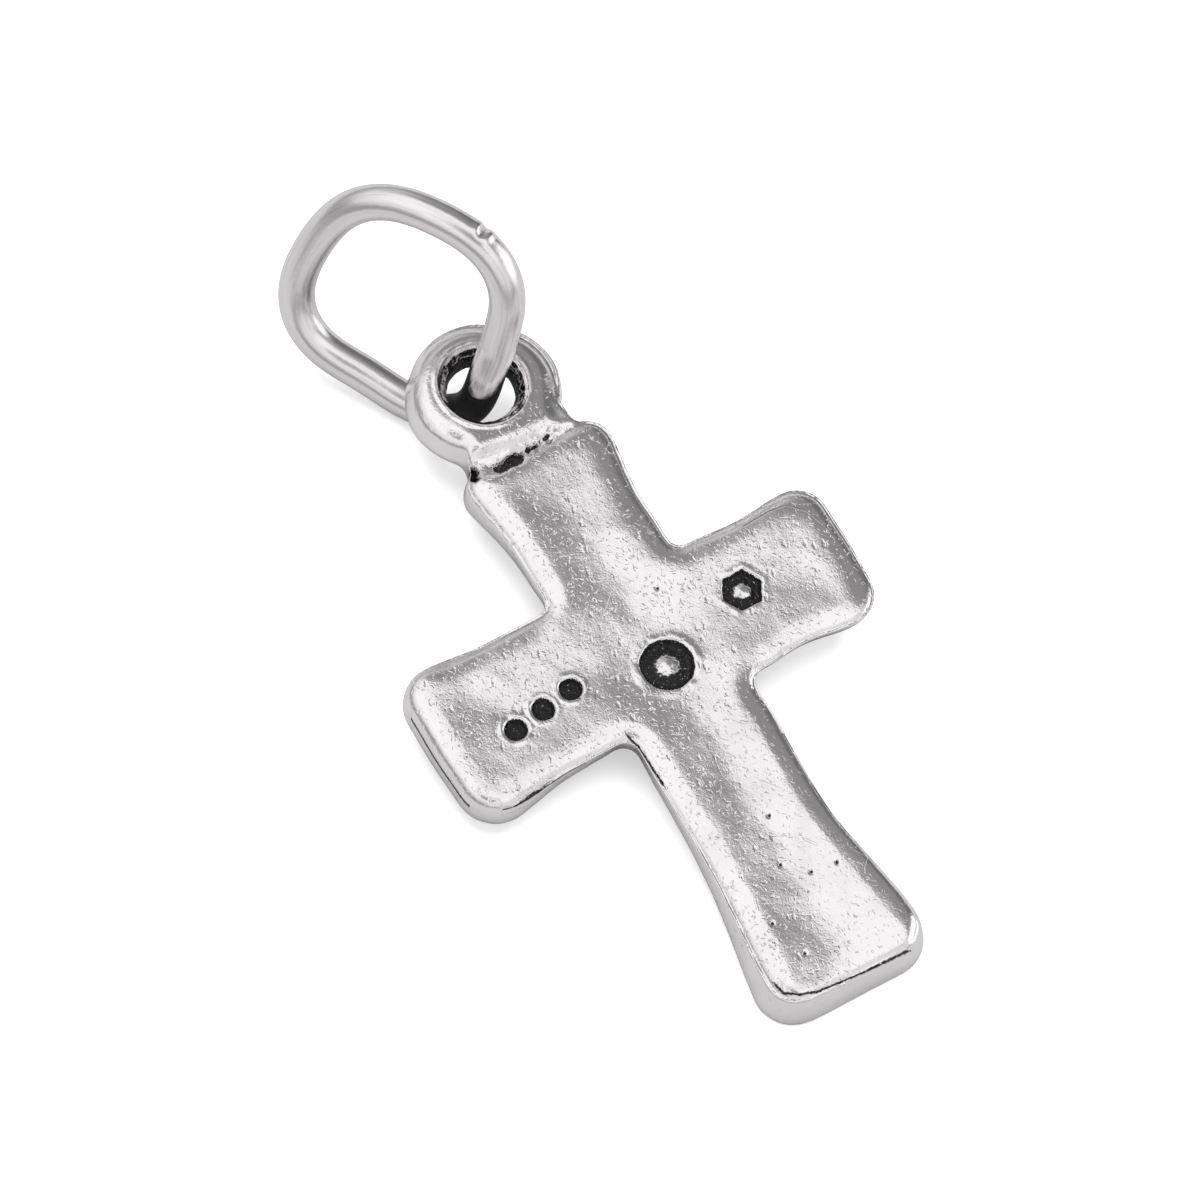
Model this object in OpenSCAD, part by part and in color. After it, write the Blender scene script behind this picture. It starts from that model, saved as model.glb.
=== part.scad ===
// Cast silver cross charm with an eyelet and a loose jump ring.
// It lies front down on the surface z = 0, its marked back face up, and its eyelet
// end is propped up by the wire of the jump ring that passes under the eyelet.
// Everything about the cross is drawn in its own flat frame first: crossing of the
// arms at x = 0 and y = 0, front at z = 0, +Y towards the eyelet. It is then leaned.

/* [Cross] */
// Thickness of the arms from the front to the back face
thickness = 1.3; // [1.1:0.05:1.6]
// Length of the upper arm from the crossing to the neck
upper_len = 5.75; // [5:0.05:6]
// Length of the lower arm from the crossing to its end
lower_len = 9.55; // [8:0.05:11]
// Length of the left arm from the crossing to its end
left_len = 5.68; // [4.6:0.05:6.2]
// Length of the right arm from the crossing to its end
right_len = 5.42; // [4.6:0.05:6.2]
// Half width of the arms at their ends
end_half = 1.9; // [1.75:0.05:2.1]
// Half width of the arms beside the crossing
waist_half = 1.56; // [1.4:0.02:1.7]
// Depth of the hollow in each long side
side_hollow = 0.14; // [0:0.02:0.25]
// How far the side wall bulges past the edge of the back face
wall_bulge = 0.12; // [0.05:0.01:0.18]
// How far the front is rolled in at the ends of the arms
front_roll = 0.54; // [0.4:0.02:0.54]

/* [Eyelet] */
// Distance from the crossing to the middle of the eyelet
eyelet_y = 7.8; // [7.76:0.01:7.84]
// Offset of the eyelet to the left of the arm's middle
eyelet_off = 0.13; // [0:0.01:0.16]
// Outer radius of the eyelet
eyelet_r = 1.72; // [1.65:0.01:1.8]
// Radius of the hole at its narrowest
hole_r = 0.84; // [0.8:0.01:0.88]
// Radius of the hole's rim on the back
hole_rim_r = 1.05; // [1:0.01:1.12]
// Thickness of the eyelet
eyelet_t = 1.14; // [1.05:0.01:1.16]
// Half width of the neck between the eyelet and the upper arm
neck_half = 1.3; // [1.1:0.02:1.4]

/* [Marks] */
// Depth of the sunk marks in the back face
mark_depth = 0.16; // [0.1:0.01:0.25]
// Diameter of the round mark at the crossing
centre_mark_d = 1.3; // [1:0.05:1.6]
// Width of the six-sided mark on the right arm, from corner to corner
six_mark_d = 1.05; // [0.8:0.05:1.2]
// Diameter of each of the three dots on the left arm
dot_d = 0.56; // [0.4:0.02:0.7]

/* [Jump ring] */
// Diameter of the ring's wire
wire_d = 0.9; // [0.86:0.01:0.92]
// Mean radius of the ring's centre line
ring_r = 2.71; // [2.69:0.01:2.73]
// Tilt of the ring's plane from the surface it stands on
ring_tilt = 62.5; // [62:0.1:63]
// Direction that the ring's upper side faces, counted from +X
ring_turn = 214.5; // [213.5:0.5:215.5]

/* [Lying] */
// Lean of the cross with its eyelet end propped on the ring
lean = 3.2; // [3.1:0.05:3.3]

/* [Hidden] */

// Distance from the crossing to the middle of the whole charm
middle_y = 1.62;

// The outline of the back face, counterclockwise. Each row is a corner:
// x, y, rounding, hollow of the edge that follows, roll of the front, bevel of the back
X = 0;
Y = 1;
ROUND = 2;
HOLLOW = 3;
ROLL = 4;
BEVEL = 5;
waist_roll = 1.5;
foot_roll = 0.5;
soft_bevel = 0.14;
corners = [
    [right_len - 0.06, -end_half + 0.1, 0.75, -0.03, 1.15, 0.3],
    [right_len, end_half - 0.04, 0.7, side_hollow * 0.6, 1, 0.34],
    [waist_half + 0.02, waist_half + 0.2, 0.5, side_hollow * 0.7, waist_roll, soft_bevel],
    [end_half - 0.04, upper_len, 0.5, 0, 0.75, 0.28],
    [-end_half + 0.14, upper_len, 0.32, side_hollow * 0.6, 0.55, soft_bevel],
    [-waist_half + 0.04, waist_half + 0.28, 0.5, side_hollow * 0.4, waist_roll, soft_bevel],
    [-left_len, end_half + 0.03, 0.62, -0.03, 1, 0.18],
    [-left_len + 0.04, -end_half, 0.85, side_hollow, 1, 0.2],
    [-waist_half + 0.04, -waist_half - 0.1, 0.5, side_hollow * 1.2, waist_roll, soft_bevel],
    [-end_half + 0.06, -lower_len, 0.62, 0, foot_roll, 0.2],
    [end_half, -lower_len, 0.6, side_hollow * 1.8, foot_roll, 0.3],
    [waist_half - 0.06, -waist_half - 0.08, 0.58, side_hollow * 0.9, waist_roll, soft_bevel]
];

// Heights of the outline's rings: share of the thickness, inset in shares of
// the front's roll, inset in shares of the back's bevel
HEIGHT = 0;
FRONT_IN = 1;
BACK_IN = 2;
levels = [
    [0, 1, 0],
    [0.06, 0.6, 0],
    [0.18, 0.28, 0],
    [0.34, 0.08, 0],
    [0.5, 0, 0],
    [0.82, 0, 0],
    [0.92, 0, 0.25],
    [0.975, 0, 0.6],
    [1, 0, 1]
];

arc_steps = 5;
edge_steps = 6;

function unit(v) = v / norm(v);
function turned(v) = [-v[1], v[0]];
function mix(a, b, t) = a * (1 - t) + b * t;
function place_of(row) = [row[X], row[Y]];
function count(list) = len(list);
function before(i, n) = (i + n - 1) % n;
function after(i, n) = (i + 1) % n;

// Points along the rounded corner i, from the edge before it to the edge after it
function corner_points(i, n) =
    let (
        here = place_of(corners[i]),
        back = unit(place_of(corners[before(i, n)]) - here),
        ahead = unit(place_of(corners[after(i, n)]) - here),
        first = here + back * corners[i][ROUND],
        last = here + ahead * corners[i][ROUND]
    )
    [for (k = [0:arc_steps])
        let (t = k / arc_steps)
        concat(
            first * pow(1 - t, 2) + here * 2 * t * (1 - t) + last * pow(t, 2),
            [corners[i][ROLL], corners[i][BEVEL]]
        )
    ];

// Points between the corners i and i + 1, pulled into the metal in the middle
function edge_points(i, n) =
    let (
        here = corners[i],
        next = corners[after(i, n)],
        way = place_of(next) - place_of(here),
        start = here[ROUND] / norm(way),
        stop = 1 - next[ROUND] / norm(way)
    )
    [for (k = [1:edge_steps - 1])
        let (t = k / edge_steps, s = mix(start, stop, t))
        concat(
            mix(place_of(here), place_of(next), s)
                + turned(unit(way)) * here[HOLLOW] * pow(sin(180 * t), 2),
            [mix(here[ROLL], next[ROLL], t), mix(here[BEVEL], next[BEVEL], t)]
        )
    ];

face_outline = [
    for (i = [0:count(corners) - 1])
        each concat(corner_points(i, count(corners)), edge_points(i, count(corners)))
];
points_round = count(face_outline);

// Outward direction of the outline at its point i
function outward(i) =
    let (
        a = face_outline[before(i, points_round)],
        b = face_outline[after(i, points_round)]
    )
    -turned(unit([b[X] - a[X], b[Y] - a[Y]]));

function level_point(i, row) =
    let (
        p = face_outline[i],
        inset = front_roll * p[2] * row[FRONT_IN] + (wall_bulge + p[3] - soft_bevel) * row[BACK_IN],
        at = [p[X], p[Y]] + outward(i) * (wall_bulge - inset)
    )
    [at[X], at[Y], thickness * row[HEIGHT]];

// A closed skin over rings of equally many points, the first ring at the bottom. Its two
// ends are fans of triangles round the crossing, which sees every point of its outline
module skin(rings) {
    n = count(rings[0]);
    m = count(rings);
    low_middle = m * n;
    top_middle = low_middle + 1;
    sides = [
        for (j = [0:m - 2])
            for (i = [0:n - 1])
                let (a = j * n + i, b = j * n + after(i, n))
                each [[a, a + n, b + n], [a, b + n, b]]
    ];
    ends = [
        for (i = [0:n - 1])
            let (a = i, b = after(i, n), up = (m - 1) * n)
            each [[low_middle, a, b], [top_middle, b + up, a + up]]
    ];
    middles = [[0, 0, rings[0][0][2]], [0, 0, rings[m - 1][0][2]]];
    polyhedron(concat([for (ring = rings) each ring], middles), concat(sides, ends));
}

module body() {
    skin([for (row = levels) [for (i = [0:points_round - 1]) level_point(i, row)]]);
}

// The eyelet stands a little below the back face
eyelet_top = thickness - 0.04;
eyelet_edge = 0.42;
top_edge = 0.3;
rim_depth = 0.42;
quarter_steps = 5;

function quarter(cx, cz, r, from) = [
    for (k = [0:quarter_steps])
        let (a = from + 90 * k / quarter_steps)
        [cx + r * cos(a), cz + r * sin(a)]
];

module eyelet() {
    low = eyelet_top - eyelet_t;
    translate([-eyelet_off, eyelet_y, 0])
        rotate_extrude($fn = 96)
            polygon(concat(
                quarter(eyelet_r - eyelet_edge, low + eyelet_edge, eyelet_edge, 270),
                quarter(eyelet_r - top_edge, eyelet_top - top_edge, top_edge, 0),
                [[hole_r / 2, eyelet_top], [hole_r / 2, low]]
            ));
}

// The neck flares from the eyelet to the upper arm, lower than both on the back
neck_low = 0.2;
neck_drop = 0.2;
neck_root = 0.5;
neck_reach = 1.1;
neck_flare = 0.14;

// Corners of the neck's sides from the arm to the eyelet: how far past its half
// width, and how far above the end of the upper arm
right_side = [[neck_flare + 0.08, 0.08], [0.14, 0.35], [0.1, 0.62], [0.06, 0.88]];
left_side = [[neck_flare, 0.08], [0.06, 0.35], [0, 0.6]];

module neck() {
    top = thickness - neck_drop;
    translate([-eyelet_off, 0, neck_low])
        linear_extrude(top - neck_low)
            polygon([
                [neck_half + neck_flare, upper_len - neck_root],
                for (p = right_side) [neck_half + p[X], upper_len + p[Y]],
                [neck_half - 0.1, upper_len + neck_reach],
                [-neck_half + 0.1, upper_len + neck_reach],
                for (k = [count(left_side) - 1:-1:0])
                    [-neck_half - left_side[k][X], upper_len + left_side[k][Y]],
                [-neck_half - neck_flare, upper_len - neck_root]
            ]);
}

// The hole is narrowest in its middle and flares out to both faces
lower_flare = 0.2;

module hole() {
    low = eyelet_top - eyelet_t;
    over = 0.3;
    translate([-eyelet_off, eyelet_y, 0]) {
        translate([0, 0, low - over])
            cylinder(h = eyelet_t + 2 * over, r = hole_r, $fn = 96);
        translate([0, 0, eyelet_top - rim_depth])
            cylinder(h = rim_depth, r1 = hole_r, r2 = hole_rim_r, $fn = 96);
        translate([0, 0, eyelet_top])
            cylinder(h = over, r = hole_rim_r, $fn = 96);
        translate([0, 0, low - over])
            cylinder(h = over + lower_flare, r1 = hole_r + over + lower_flare, r2 = hole_r, $fn = 96);
    }
}

// Plain sunk marks: a round one and a six-sided one, each with a small dome left
// standing in its middle, and a row of three dots
centre_mark_at = [0.05, -0.6];
six_mark_at = [2.62, 0.2];
dots_at = [-3.15, -0.2];
dot_step = 0.84;
dot_rise = 0.14;
centre_dome_d = 0.56;
six_dome_d = 0.44;
mark_over = 0.2;
dome_share = 0.8;

module sunk(at, d, sides) {
    translate([at[X], at[Y], thickness - mark_depth])
        cylinder(h = mark_depth + mark_over, d = d, $fn = sides);
}

module domed_mark(at, d, dome_d, sides) {
    difference() {
        sunk(at, d, sides);
        translate([at[X], at[Y], thickness - mark_depth - mark_over])
            cylinder(
                h = mark_over + mark_depth * dome_share,
                d1 = dome_d + mark_over,
                d2 = dome_d - mark_over,
                $fn = 48
            );
    }
}

module marks() {
    domed_mark(centre_mark_at, centre_mark_d, centre_dome_d, 64);
    domed_mark(six_mark_at, six_mark_d, six_dome_d, 6);
    for (k = [-1:1])
        sunk(dots_at + [k * dot_step, k * dot_rise], dot_d, 48);
}

// The lower end of the flat on the front is the line that the cross leans on
hinge_y = -lower_len - wall_bulge + front_roll * foot_roll;

module laid() {
    translate([0, hinge_y - middle_y, 0])
        rotate([lean, 0, 0])
            translate([0, -hinge_y, 0])
                children();
}

// Both pieces are worn to a thin flat where they touch the surface
worn_flat = 0.01;
reach = 20;

module rested() {
    translate([0, 0, -worn_flat])
        difference() {
            children();
            translate([-reach, -reach, worn_flat - 1])
                cube([2 * reach, 2 * reach, 1]);
        }
}

module cross() {
    color("silver")
        rested()
            laid()
                difference() {
                    union() {
                        body();
                        eyelet();
                        neck();
                    }
                    hole();
                    marks();
                }
}

// The ring's middle, seen from above the crossing, and its shape: waves of two, three
// and four rounds along its radius, as shares of it, and one wave out of its plane
ring_middle = [-0.895, 10.15];
oval = [-0.01, -0.029];
egg = [-0.045, -0.038];
squared = [-0.046, 0.015];
bend = [0.01, 0.09];
ring_steps = 72;
wire_sides = 16;

ring_normal = [
    sin(ring_tilt) * cos(ring_turn),
    sin(ring_tilt) * sin(ring_turn),
    cos(ring_tilt)
];
ring_across = unit(cross([0, 0, 1], ring_normal));
ring_up = cross(ring_normal, ring_across);

function wave(pair, times, a) = pair[0] * cos(times * a) + pair[1] * sin(times * a);

function ring_point(a) =
    let (
        r = ring_r * (1 + wave(oval, 2, a) + wave(egg, 3, a) + wave(squared, 4, a)),
        out = wave(bend, 2, a)
    )
    ring_across * r * cos(a) + ring_up * r * sin(a) + ring_normal * out;

function wire_ring(a) =
    let (
        step = 360 / ring_steps,
        way = unit(ring_point(a + step) - ring_point(a - step)),
        side = unit(cross(ring_normal, way)),
        up = cross(way, side)
    )
    [for (k = [0:wire_sides - 1])
        let (b = 360 * k / wire_sides)
        ring_point(a) + (side * cos(b) + up * sin(b)) * wire_d / 2
    ];

module jump_ring() {
    rings = [for (k = [0:ring_steps - 1]) wire_ring(360 * k / ring_steps)];
    points = [for (ring = rings) each ring];
    lowest = min([for (p = points) p[2]]);
    faces = [
        for (j = [0:ring_steps - 1])
            for (i = [0:wire_sides - 1])
                let (
                    a = j * wire_sides + i,
                    b = j * wire_sides + after(i, wire_sides),
                    c = after(j, ring_steps) * wire_sides + i,
                    d = after(j, ring_steps) * wire_sides + after(i, wire_sides)
                )
                each [[a, c, d], [a, d, b]]
    ];
    color("lightgray")
        rested()
            translate([ring_middle[X], ring_middle[Y] - middle_y, -lowest])
                polyhedron(points, faces);
}

cross();
jump_ring();
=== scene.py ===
"""Dresses the cross charm: a cast silver cross and its jump ring, lying on a pale floor."""

import logging
import math
from dataclasses import dataclass
from enum import Enum
from typing import Any, Protocol, Sequence

import bmesh
import bpy
import numpy as np
from mathutils import Matrix, Vector, noise


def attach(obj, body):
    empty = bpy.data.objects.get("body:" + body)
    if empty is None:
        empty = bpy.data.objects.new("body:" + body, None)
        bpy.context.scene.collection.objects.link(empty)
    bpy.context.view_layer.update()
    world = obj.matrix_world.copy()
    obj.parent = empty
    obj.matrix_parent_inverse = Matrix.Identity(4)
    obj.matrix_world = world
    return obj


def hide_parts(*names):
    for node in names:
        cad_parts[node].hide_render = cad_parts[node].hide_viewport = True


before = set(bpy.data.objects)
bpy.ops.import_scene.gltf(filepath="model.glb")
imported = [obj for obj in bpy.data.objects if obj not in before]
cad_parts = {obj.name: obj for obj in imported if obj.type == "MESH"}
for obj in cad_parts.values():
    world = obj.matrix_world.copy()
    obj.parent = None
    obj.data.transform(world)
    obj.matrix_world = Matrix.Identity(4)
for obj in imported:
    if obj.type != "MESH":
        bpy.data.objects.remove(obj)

LOG = logging.getLogger("cross_charm")
MM = 0.001
# Tarnish, and on the ring also painted shade where the wire runs inside the eyelet's hole
TARNISH_AND_SHADE = "tarnish"
# Where the painted shade lines lie, noted on the cross's skin
LINE_SIDE = "line_side"
LINE_NEAR = "line_near"
SECTION = "section"
FOOT, OUTWARD = "foot", "outward"
EDGE_VALUES = ("roll", "bevel", "taper")
# The sockets of a colour Mix node by number, because three kinds share each of its names
MIX_SHARE, MIX_FIRST, MIX_SECOND, MIX_RESULT = 0, 6, 7, 2
Point = tuple[float, float]
Span = tuple[float, float]
Colour = tuple[float, float, float, float]


# Numbers and fields


def ramp(value: np.ndarray, start: float, stop: float) -> np.ndarray:
    """Return a smooth step from 0 at start to 1 at stop, for either order of the two."""
    t = np.clip((value - start) / (stop - start), 0, 1)
    return t * t * (3 - 2 * t)


def mound(distance: np.ndarray, radius: float) -> np.ndarray:
    """Return a smooth bump that is 1 at distance 0 and 0 from radius on."""
    t = np.clip(1 - (distance / radius) ** 2, 0, 1)
    return t * t


def grain(points: np.ndarray, size: float, seed: float, octaves: int = 2) -> np.ndarray:
    """Sample a fixed noise at points.

    Args:
        points: Places in millimetres, one row each.
        size: Size of the noise's lumps in millimetres.
        seed: Shift that tells one noise from another.
        octaves: How many sizes of lump are laid over each other.

    Returns:
        One value between about -1 and 1 for each point.
    """
    shift = Vector((seed, seed * 0.7, seed * 1.3))
    return np.array([noise.fractal(Vector(p) / size + shift, 1.0, 2.0, octaves) for p in points])


def segment_distance(x: np.ndarray, y: np.ndarray, a: Point, b: Point) -> np.ndarray:
    """Return the distance of each place x, y from the segment between a and b."""
    way = np.subtract(b, a)
    t = np.clip(((x - a[0]) * way[0] + (y - a[1]) * way[1]) / (way @ way), 0, 1)
    return np.hypot(x - a[0] - way[0] * t, y - a[1] - way[1] * t)


def path_distance(x: np.ndarray, y: np.ndarray, path: Sequence[Point]) -> np.ndarray:
    """Return the distance of each place x, y from an open path of points."""
    pairs = zip(path[:-1], path[1:])
    return np.min([segment_distance(x, y, a, b) for a, b in pairs], axis=0)


def path_side(x: np.ndarray, y: np.ndarray, path: Sequence[Point]) -> np.ndarray:
    """Return the distance of each place x, y from an open path, below 0 on the path's left."""
    pairs = list(zip(path[:-1], path[1:]))
    away = np.stack([segment_distance(x, y, a, b) for a, b in pairs])
    turn = np.stack([(b[0] - a[0]) * (y - a[1]) - (b[1] - a[1]) * (x - a[0]) for a, b in pairs])
    nearest = away.argmin(axis=0)[None]
    return (np.take_along_axis(away, nearest, 0) * -np.sign(np.take_along_axis(turn, nearest, 0)))[0]


@dataclass(frozen=True)
class Rim:
    """Evenly spaced places along a closed outline, and the outline's outward direction at each."""

    places: np.ndarray
    outward: np.ndarray

    @classmethod
    def along(cls, loop: np.ndarray, gap: float) -> "Rim":
        """Return a rim with a place about every gap millimetres of a loop that runs anticlockwise."""
        places = evenly_along(loop, gap)
        way = np.roll(places, -1, axis=0) - np.roll(places, 1, axis=0)
        way /= np.hypot(*way.T)[:, None]
        return cls(places, np.stack([way[:, 1], -way[:, 0]], axis=-1))

    def only(self, keep: np.ndarray) -> "Rim":
        """Return the rim's places for which keep is true."""
        return Rim(self.places[keep], self.outward[keep])


def evenly_along(loop: np.ndarray, gap: float) -> np.ndarray:
    """Return places about gap apart along a closed loop of places, one row each."""
    closed = np.vstack([loop, loop[:1]])
    run = np.concatenate([[0], np.cumsum(np.hypot(*np.diff(closed, axis=0).T))])
    at = np.linspace(0, run[-1], int(run[-1] / gap), endpoint=False)
    return np.stack([np.interp(at, run, closed[:, axis]) for axis in (0, 1)], axis=-1)


def soft_distance(x: np.ndarray, y: np.ndarray, rim: Rim, toward: Point) -> tuple[np.ndarray, np.ndarray]:
    """Return how far each place lies from an outline, and which way the outline near it faces.

    Args:
        x: The places' x.
        y: The places' y.
        rim: The outline.
        toward: The direction on the plan that the facing is measured against.

    Returns:
        The distance, exact near one side and a little less halfway between two sides, and the
        nearest sides' facing, from -1 away from toward to 1 straight toward it.
    """
    # straight_line is what the falloffs of a straight side's places add up to, at distance 1
    closest, falloff, straight_line = 1e-4, 4, 0.98175
    gap = np.hypot(*(rim.places[1] - rim.places[0]))
    total, facing = np.zeros_like(x), np.zeros_like(x)
    for (rim_x, rim_y), faces in zip(rim.places, rim.outward @ np.array(toward)):
        near = np.maximum((x - rim_x) ** 2 + (y - rim_y) ** 2, closest) ** -falloff
        total += near
        facing += near * faces
    return (total * gap / straight_line) ** (-1 / (2 * falloff - 1)), facing / total


@dataclass(frozen=True)
class Lie:
    """How the cross's flat drawing lies in the row frame, propped up by its ring.

    It leans by lean degrees about the line hinge_y at its lower end. The frame's origin is
    over middle_y, and the worn flats are sunk to the surface. Lengths are in millimetres.
    """

    lean: float = 3.2
    hinge_y: float = -9.40
    middle_y: float = 1.62
    worn_flat: float = 0.01

    def turn(self) -> Matrix:
        """Return the lean alone, as a rotation about the X axis."""
        return Matrix.Rotation(math.radians(self.lean), 4, "X")

    def matrix(self) -> Matrix:
        """Return the way from the flat drawing in millimetres to the row frame in metres."""
        there = Matrix.Translation((0, self.hinge_y - self.middle_y, -self.worn_flat))
        back = Matrix.Translation((0, -self.hinge_y, 0))
        return Matrix.Scale(MM, 4) @ there @ self.turn() @ back


# Shader maths


class Signal:
    """A shader socket or a number, with the operators that the finishes use."""

    def __init__(self, sheet: "NodeSheet", source: Any) -> None:
        """Hold source, a node's output or a number, on a sheet of nodes."""
        self.sheet = sheet
        self.source = source

    def _with(self, how: str, *others: Any) -> "Signal":
        """Return the result of one Math operation on this signal and others."""
        return self.sheet.node("ShaderNodeMath", {"operation": how}, [self, *others])

    def __add__(self, other: Any) -> "Signal":
        """Return the sum."""
        return self._with("ADD", other)

    __radd__ = __add__

    def __sub__(self, other: Any) -> "Signal":
        """Return this less other."""
        return self._with("SUBTRACT", other)

    def __rsub__(self, other: Any) -> "Signal":
        """Return other less this."""
        return Signal(self.sheet, other)._with("SUBTRACT", self)

    def __mul__(self, other: Any) -> "Signal":
        """Return the product."""
        return self._with("MULTIPLY", other)

    __rmul__ = __mul__

    def size(self) -> "Signal":
        """Return the value without its sign."""
        return self._with("ABSOLUTE")

    def at_least(self, other: Any) -> "Signal":
        """Return the larger of this and other."""
        return self._with("MAXIMUM", other)

    def also(self, output: str) -> "Signal":
        """Return another output of the node that this signal comes from."""
        return Signal(self.sheet, self.source.node.outputs[output])

    def step(self, start: float, stop: float) -> "Signal":
        """Return a smooth step from 0 at start to 1 at stop."""
        low, high = min(start, stop), max(start, stop)
        ends = (0.0, 1.0) if start < stop else (1.0, 0.0)
        settings = {"interpolation_type": "SMOOTHSTEP", "clamp": True}
        return self.sheet.node("ShaderNodeMapRange", settings, [self, low, high, *ends])


class NodeSheet:
    """The node tree of one material or of the world."""

    def __init__(self, tree: bpy.types.NodeTree) -> None:
        """Empty the tree and keep it."""
        self.tree = tree
        tree.nodes.clear()

    def node(
        self,
        kind: str,
        settings: dict[str, Any] | None = None,
        inputs: Sequence[Any] | dict[Any, Any] | None = None,
        output: str | int = 0,
    ) -> Signal:
        """Add one node.

        Args:
            kind: The node's type, such as ShaderNodeMath.
            settings: Its own settings, set before its sockets.
            inputs: Values or signals, in socket order or by socket name.
            output: The output that is wanted, by number or name.

        Returns:
            That output as a signal, or an empty signal for a node without outputs.
        """
        made = self.tree.nodes.new(kind)
        for name, value in (settings or {}).items():
            setattr(made, name, value)
        pairs = inputs.items() if isinstance(inputs, dict) else enumerate(inputs or [])
        for key, value in pairs:
            source = value.source if isinstance(value, Signal) else value
            if isinstance(source, bpy.types.NodeSocket):
                self.tree.links.new(source, made.inputs[key])
            else:
                made.inputs[key].default_value = source
        return Signal(self, made.outputs[output] if len(made.outputs) else None)

    def millimetres(self) -> Signal:
        """Return the place on the piece in millimetres."""
        place = self.node("ShaderNodeTexCoord", output="Object")
        return self.node("ShaderNodeVectorMath", {"operation": "SCALE"}, {"Vector": place, "Scale": 1 / MM})

    def attribute(self, name: str, output: str = "Fac") -> Signal:
        """Return one of the piece's own attributes."""
        return self.node("ShaderNodeAttribute", {"attribute_name": name}, output=output)

    def clouds(self, place: Signal, size: float, detail: float = 2, **more: float) -> Signal:
        """Return a noise from 0 to 1 with lumps of about size millimetres."""
        inputs = {"Vector": place, "Scale": 1 / size, "Detail": detail, **more}
        return self.node("ShaderNodeTexNoise", {"noise_dimensions": "3D"}, inputs, "Fac")

    def warped(self, place: Signal, size: float, amount: float) -> Signal:
        """Return place, pushed about by up to amount millimetres in lumps of size millimetres."""
        push = self.node("ShaderNodeTexNoise", {}, {"Vector": place, "Scale": 1 / size, "Detail": 1}, "Color")
        centred = self.node("ShaderNodeVectorMath", {"operation": "SUBTRACT"}, [push, (0.5, 0.5, 0.5)])
        scaled = self.node("ShaderNodeVectorMath", {"operation": "SCALE"}, {"Vector": centred, "Scale": amount})
        return self.node("ShaderNodeVectorMath", {"operation": "ADD"}, [place, scaled])

    def shade(self, first: Any, second: Any, share: Signal) -> Signal:
        """Return the colour first where share is 0 and second where it is 1."""
        settings = {"data_type": "RGBA", "blend_type": "MIX"}
        inputs = {MIX_SHARE: share, MIX_FIRST: first, MIX_SECOND: second}
        return self.node("ShaderNodeMix", settings, inputs, MIX_RESULT)

    def bump(self, height: Signal) -> Signal:
        """Return the normal of a surface that has this height in millimetres."""
        return self.node("ShaderNodeBump", {}, {"Strength": 1.0, "Distance": MM, "Height": height})

    def surface(self, sockets: dict[str, Any]) -> None:
        """End a material's sheet with one shader that has these sockets."""
        shader = self.node("ShaderNodeBsdfPrincipled", {}, sockets)
        self.node("ShaderNodeOutputMaterial", {}, {"Surface": shader})


def new_finish(name: str) -> tuple[bpy.types.Material, NodeSheet]:
    """Return a new material and its emptied sheet of nodes."""
    made = bpy.data.materials.new(name)
    made.use_nodes = True
    return made, NodeSheet(made.node_tree)


def grey(value: float, rose: float = 0.0) -> Colour:
    """Return a grey as a colour, a little more rose than neutral by rose."""
    return (value * (1 + rose), value * (1 - rose), value, 1.0)


# Finishes


class Finish(Protocol):
    """Something that a piece is made of."""

    def material(self) -> bpy.types.Material:
        """Return a new material of this finish."""


@dataclass(frozen=True)
class Strokes:
    """Short marks in a skin that all run one way.

    The turn is in radians and the sizes are in millimetres. The share is how many of the
    marks are there at all, and the depth is a factor on what the finish gives.
    """

    turn: float
    length: float
    width: float
    share: float
    depth: float = 1.0

    def drawn_out(self, sheet: NodeSheet, place: Signal) -> Signal:
        """Return place drawn out so that a round texture becomes one of these strokes."""
        inputs = {"Vector": place, "Rotation": (0, 0, self.turn), "Scale": (self.length, self.width, self.length)}
        return sheet.node("ShaderNodeMapping", {"vector_type": "TEXTURE"}, inputs)


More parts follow.
